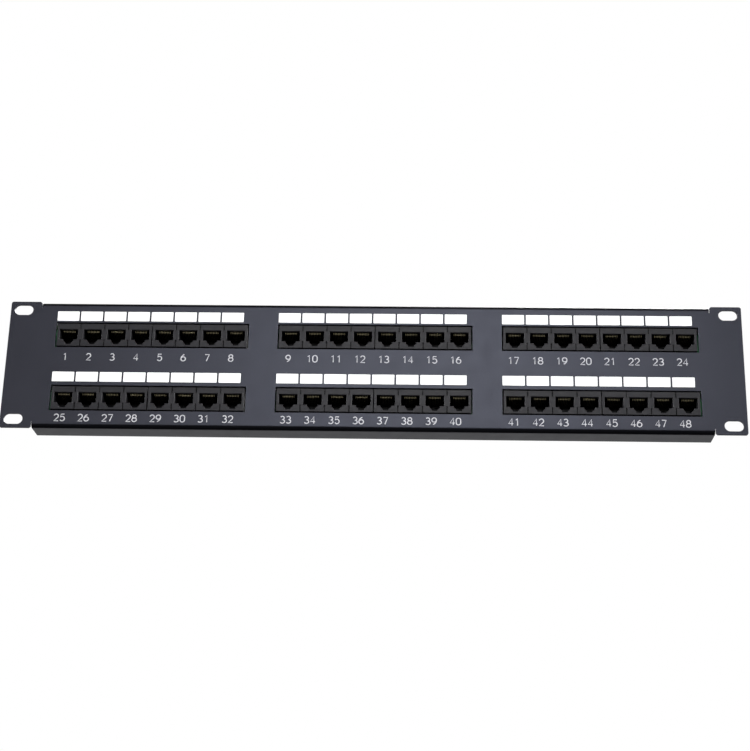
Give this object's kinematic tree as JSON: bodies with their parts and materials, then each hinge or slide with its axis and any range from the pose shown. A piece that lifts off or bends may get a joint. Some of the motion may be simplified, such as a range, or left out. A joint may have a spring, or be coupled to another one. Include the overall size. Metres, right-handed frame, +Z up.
{
  "type": "patch panel",
  "caption": "Black steel rack panel with rows of keyed network sockets and write-on fields in front, and punch-down wire blocks on circuit boards behind.",
  "frame": {"origin": "centre of the four rack slots, on the rear face of the ears, which rests on the rack's rails", "axes": "+X to the right seen from the front, +Y to the rear, +Z up"},
  "size_m": [0.4826, 0.0317, 0.0882],
  "materials": {
    "black_painted_steel": "satin black powder coat, fine texture",
    "white_field": "matt white write-on film",
    "black_jack_plastic": "fine-textured black moulding",
    "dark_insert_plastic": "smooth black moulding",
    "circuit_board": "green solder mask over glass epoxy",
    "zinc_steel": "bright zinc plate",
    "black_punch_plastic": "matt black moulding",
    "tinned_bronze": "tin-plated phosphor bronze",
    "strip_paper": "matt white strip with coloured wire-order bands",
    "gold_spring": "gold-plated phosphor bronze"
  },
  "bodies": {
    "panel": {"front_panel": "black_painted_steel", "write_on_fields": "white_field", "jack_blocks": "black_jack_plastic", "contact_inserts": "dark_insert_plastic", "circuit_boards": "circuit_board", "board_posts": "zinc_steel", "board_screws": "zinc_steel", "punch_down_blocks": "black_punch_plastic", "punch_down_blades": "tinned_bronze", "wiring_strips": "strip_paper"},
    "port_01_springs": {"port_01_contacts": "gold_spring"},
    "port_02_springs": {"port_02_contacts": "gold_spring"},
    "port_03_springs": {"port_03_contacts": "gold_spring"},
    "port_04_springs": {"port_04_contacts": "gold_spring"},
    "port_05_springs": {"port_05_contacts": "gold_spring"},
    "port_06_springs": {"port_06_contacts": "gold_spring"},
    "port_07_springs": {"port_07_contacts": "gold_spring"},
    "port_08_springs": {"port_08_contacts": "gold_spring"},
    "port_09_springs": {"port_09_contacts": "gold_spring"},
    "port_10_springs": {"port_10_contacts": "gold_spring"},
    "port_11_springs": {"port_11_contacts": "gold_spring"},
    "port_12_springs": {"port_12_contacts": "gold_spring"},
    "port_13_springs": {"port_13_contacts": "gold_spring"},
    "port_14_springs": {"port_14_contacts": "gold_spring"},
    "port_15_springs": {"port_15_contacts": "gold_spring"},
    "port_16_springs": {"port_16_contacts": "gold_spring"},
    "port_17_springs": {"port_17_contacts": "gold_spring"},
    "port_18_springs": {"port_18_contacts": "gold_spring"},
    "port_19_springs": {"port_19_contacts": "gold_spring"},
    "port_20_springs": {"port_20_contacts": "gold_spring"},
    "port_21_springs": {"port_21_contacts": "gold_spring"},
    "port_22_springs": {"port_22_contacts": "gold_spring"},
    "port_23_springs": {"port_23_contacts": "gold_spring"},
    "port_24_springs": {"port_24_contacts": "gold_spring"},
    "port_25_springs": {"port_25_contacts": "gold_spring"},
    "port_26_springs": {"port_26_contacts": "gold_spring"},
    "port_27_springs": {"port_27_contacts": "gold_spring"},
    "port_28_springs": {"port_28_contacts": "gold_spring"},
    "port_29_springs": {"port_29_contacts": "gold_spring"},
    "port_30_springs": {"port_30_contacts": "gold_spring"},
    "port_31_springs": {"port_31_contacts": "gold_spring"},
    "port_32_springs": {"port_32_contacts": "gold_spring"},
    "port_33_springs": {"port_33_contacts": "gold_spring"},
    "port_34_springs": {"port_34_contacts": "gold_spring"},
    "port_35_springs": {"port_35_contacts": "gold_spring"},
    "port_36_springs": {"port_36_contacts": "gold_spring"},
    "port_37_springs": {"port_37_contacts": "gold_spring"},
    "port_38_springs": {"port_38_contacts": "gold_spring"},
    "port_39_springs": {"port_39_contacts": "gold_spring"},
    "port_40_springs": {"port_40_contacts": "gold_spring"},
    "port_41_springs": {"port_41_contacts": "gold_spring"},
    "port_42_springs": {"port_42_contacts": "gold_spring"},
    "port_43_springs": {"port_43_contacts": "gold_spring"},
    "port_44_springs": {"port_44_contacts": "gold_spring"},
    "port_45_springs": {"port_45_contacts": "gold_spring"},
    "port_46_springs": {"port_46_contacts": "gold_spring"},
    "port_47_springs": {"port_47_contacts": "gold_spring"},
    "port_48_springs": {"port_48_contacts": "gold_spring"}
  },
  "joints": [
    {"name": "port_01_spring_lift", "type": "hinge", "parent": "panel", "child": "port_01_springs", "pos_m": [-0.20128, 0.0023, 0.02455], "axis": [1, 0, 0], "range_deg": [0, 10]},
    {"name": "port_02_spring_lift", "type": "hinge", "parent": "panel", "child": "port_02_springs", "pos_m": [-0.18543, 0.0023, 0.02455], "axis": [1, 0, 0], "range_deg": [0, 10]},
    {"name": "port_03_spring_lift", "type": "hinge", "parent": "panel", "child": "port_03_springs", "pos_m": [-0.16958, 0.0023, 0.02455], "axis": [1, 0, 0], "range_deg": [0, 10]},
    {"name": "port_04_spring_lift", "type": "hinge", "parent": "panel", "child": "port_04_springs", "pos_m": [-0.15373, 0.0023, 0.02455], "axis": [1, 0, 0], "range_deg": [0, 10]},
    {"name": "port_05_spring_lift", "type": "hinge", "parent": "panel", "child": "port_05_springs", "pos_m": [-0.13787, 0.0023, 0.02455], "axis": [1, 0, 0], "range_deg": [0, 10]},
    {"name": "port_06_spring_lift", "type": "hinge", "parent": "panel", "child": "port_06_springs", "pos_m": [-0.12202, 0.0023, 0.02455], "axis": [1, 0, 0], "range_deg": [0, 10]},
    {"name": "port_07_spring_lift", "type": "hinge", "parent": "panel", "child": "port_07_springs", "pos_m": [-0.10618, 0.0023, 0.02455], "axis": [1, 0, 0], "range_deg": [0, 10]},
    {"name": "port_08_spring_lift", "type": "hinge", "parent": "panel", "child": "port_08_springs", "pos_m": [-0.09033, 0.0023, 0.02455], "axis": [1, 0, 0], "range_deg": [0, 10]},
    {"name": "port_09_spring_lift", "type": "hinge", "parent": "panel", "child": "port_09_springs", "pos_m": [-0.05407, 0.0023, 0.02455], "axis": [1, 0, 0], "range_deg": [0, 10]},
    {"name": "port_10_spring_lift", "type": "hinge", "parent": "panel", "child": "port_10_springs", "pos_m": [-0.03823, 0.0023, 0.02455], "axis": [1, 0, 0], "range_deg": [0, 10]},
    {"name": "port_11_spring_lift", "type": "hinge", "parent": "panel", "child": "port_11_springs", "pos_m": [-0.02237, 0.0023, 0.02455], "axis": [1, 0, 0], "range_deg": [0, 10]},
    {"name": "port_12_spring_lift", "type": "hinge", "parent": "panel", "child": "port_12_springs", "pos_m": [-0.00653, 0.0023, 0.02455], "axis": [1, 0, 0], "range_deg": [0, 10]},
    {"name": "port_13_spring_lift", "type": "hinge", "parent": "panel", "child": "port_13_springs", "pos_m": [0.00932, 0.0023, 0.02455], "axis": [1, 0, 0], "range_deg": [0, 10]},
    {"name": "port_14_spring_lift", "type": "hinge", "parent": "panel", "child": "port_14_springs", "pos_m": [0.02517, 0.0023, 0.02455], "axis": [1, 0, 0], "range_deg": [0, 10]},
    {"name": "port_15_spring_lift", "type": "hinge", "parent": "panel", "child": "port_15_springs", "pos_m": [0.04102, 0.0023, 0.02455], "axis": [1, 0, 0], "range_deg": [0, 10]},
    {"name": "port_16_spring_lift", "type": "hinge", "parent": "panel", "child": "port_16_springs", "pos_m": [0.05688, 0.0023, 0.02455], "axis": [1, 0, 0], "range_deg": [0, 10]},
    {"name": "port_17_spring_lift", "type": "hinge", "parent": "panel", "child": "port_17_springs", "pos_m": [0.09312, 0.0023, 0.02455], "axis": [1, 0, 0], "range_deg": [0, 10]},
    {"name": "port_18_spring_lift", "type": "hinge", "parent": "panel", "child": "port_18_springs", "pos_m": [0.10898, 0.0023, 0.02455], "axis": [1, 0, 0], "range_deg": [0, 10]},
    {"name": "port_19_spring_lift", "type": "hinge", "parent": "panel", "child": "port_19_springs", "pos_m": [0.12483, 0.0023, 0.02455], "axis": [1, 0, 0], "range_deg": [0, 10]},
    {"name": "port_20_spring_lift", "type": "hinge", "parent": "panel", "child": "port_20_springs", "pos_m": [0.14067, 0.0023, 0.02455], "axis": [1, 0, 0], "range_deg": [0, 10]},
    {"name": "port_21_spring_lift", "type": "hinge", "parent": "panel", "child": "port_21_springs", "pos_m": [0.15652, 0.0023, 0.02455], "axis": [1, 0, 0], "range_deg": [0, 10]},
    {"name": "port_22_spring_lift", "type": "hinge", "parent": "panel", "child": "port_22_springs", "pos_m": [0.17238, 0.0023, 0.02455], "axis": [1, 0, 0], "range_deg": [0, 10]},
    {"name": "port_23_spring_lift", "type": "hinge", "parent": "panel", "child": "port_23_springs", "pos_m": [0.18823, 0.0023, 0.02455], "axis": [1, 0, 0], "range_deg": [0, 10]},
    {"name": "port_24_spring_lift", "type": "hinge", "parent": "panel", "child": "port_24_springs", "pos_m": [0.20408, 0.0023, 0.02455], "axis": [1, 0, 0], "range_deg": [0, 10]},
    {"name": "port_25_spring_lift", "type": "hinge", "parent": "panel", "child": "port_25_springs", "pos_m": [-0.20128, 0.0023, -0.01945], "axis": [1, 0, 0], "range_deg": [0, 10]},
    {"name": "port_26_spring_lift", "type": "hinge", "parent": "panel", "child": "port_26_springs", "pos_m": [-0.18543, 0.0023, -0.01945], "axis": [1, 0, 0], "range_deg": [0, 10]},
    {"name": "port_27_spring_lift", "type": "hinge", "parent": "panel", "child": "port_27_springs", "pos_m": [-0.16958, 0.0023, -0.01945], "axis": [1, 0, 0], "range_deg": [0, 10]},
    {"name": "port_28_spring_lift", "type": "hinge", "parent": "panel", "child": "port_28_springs", "pos_m": [-0.15373, 0.0023, -0.01945], "axis": [1, 0, 0], "range_deg": [0, 10]},
    {"name": "port_29_spring_lift", "type": "hinge", "parent": "panel", "child": "port_29_springs", "pos_m": [-0.13787, 0.0023, -0.01945], "axis": [1, 0, 0], "range_deg": [0, 10]},
    {"name": "port_30_spring_lift", "type": "hinge", "parent": "panel", "child": "port_30_springs", "pos_m": [-0.12202, 0.0023, -0.01945], "axis": [1, 0, 0], "range_deg": [0, 10]},
    {"name": "port_31_spring_lift", "type": "hinge", "parent": "panel", "child": "port_31_springs", "pos_m": [-0.10618, 0.0023, -0.01945], "axis": [1, 0, 0], "range_deg": [0, 10]},
    {"name": "port_32_spring_lift", "type": "hinge", "parent": "panel", "child": "port_32_springs", "pos_m": [-0.09033, 0.0023, -0.01945], "axis": [1, 0, 0], "range_deg": [0, 10]},
    {"name": "port_33_spring_lift", "type": "hinge", "parent": "panel", "child": "port_33_springs", "pos_m": [-0.05407, 0.0023, -0.01945], "axis": [1, 0, 0], "range_deg": [0, 10]},
    {"name": "port_34_spring_lift", "type": "hinge", "parent": "panel", "child": "port_34_springs", "pos_m": [-0.03823, 0.0023, -0.01945], "axis": [1, 0, 0], "range_deg": [0, 10]},
    {"name": "port_35_spring_lift", "type": "hinge", "parent": "panel", "child": "port_35_springs", "pos_m": [-0.02237, 0.0023, -0.01945], "axis": [1, 0, 0], "range_deg": [0, 10]},
    {"name": "port_36_spring_lift", "type": "hinge", "parent": "panel", "child": "port_36_springs", "pos_m": [-0.00653, 0.0023, -0.01945], "axis": [1, 0, 0], "range_deg": [0, 10]},
    {"name": "port_37_spring_lift", "type": "hinge", "parent": "panel", "child": "port_37_springs", "pos_m": [0.00932, 0.0023, -0.01945], "axis": [1, 0, 0], "range_deg": [0, 10]},
    {"name": "port_38_spring_lift", "type": "hinge", "parent": "panel", "child": "port_38_springs", "pos_m": [0.02517, 0.0023, -0.01945], "axis": [1, 0, 0], "range_deg": [0, 10]},
    {"name": "port_39_spring_lift", "type": "hinge", "parent": "panel", "child": "port_39_springs", "pos_m": [0.04102, 0.0023, -0.01945], "axis": [1, 0, 0], "range_deg": [0, 10]},
    {"name": "port_40_spring_lift", "type": "hinge", "parent": "panel", "child": "port_40_springs", "pos_m": [0.05688, 0.0023, -0.01945], "axis": [1, 0, 0], "range_deg": [0, 10]},
    {"name": "port_41_spring_lift", "type": "hinge", "parent": "panel", "child": "port_41_springs", "pos_m": [0.09312, 0.0023, -0.01945], "axis": [1, 0, 0], "range_deg": [0, 10]},
    {"name": "port_42_spring_lift", "type": "hinge", "parent": "panel", "child": "port_42_springs", "pos_m": [0.10898, 0.0023, -0.01945], "axis": [1, 0, 0], "range_deg": [0, 10]},
    {"name": "port_43_spring_lift", "type": "hinge", "parent": "panel", "child": "port_43_springs", "pos_m": [0.12483, 0.0023, -0.01945], "axis": [1, 0, 0], "range_deg": [0, 10]},
    {"name": "port_44_spring_lift", "type": "hinge", "parent": "panel", "child": "port_44_springs", "pos_m": [0.14067, 0.0023, -0.01945], "axis": [1, 0, 0], "range_deg": [0, 10]},
    {"name": "port_45_spring_lift", "type": "hinge", "parent": "panel", "child": "port_45_springs", "pos_m": [0.15652, 0.0023, -0.01945], "axis": [1, 0, 0], "range_deg": [0, 10]},
    {"name": "port_46_spring_lift", "type": "hinge", "parent": "panel", "child": "port_46_springs", "pos_m": [0.17238, 0.0023, -0.01945], "axis": [1, 0, 0], "range_deg": [0, 10]},
    {"name": "port_47_spring_lift", "type": "hinge", "parent": "panel", "child": "port_47_springs", "pos_m": [0.18823, 0.0023, -0.01945], "axis": [1, 0, 0], "range_deg": [0, 10]},
    {"name": "port_48_spring_lift", "type": "hinge", "parent": "panel", "child": "port_48_springs", "pos_m": [0.20408, 0.0023, -0.01945], "axis": [1, 0, 0], "range_deg": [0, 10]}
  ]
}
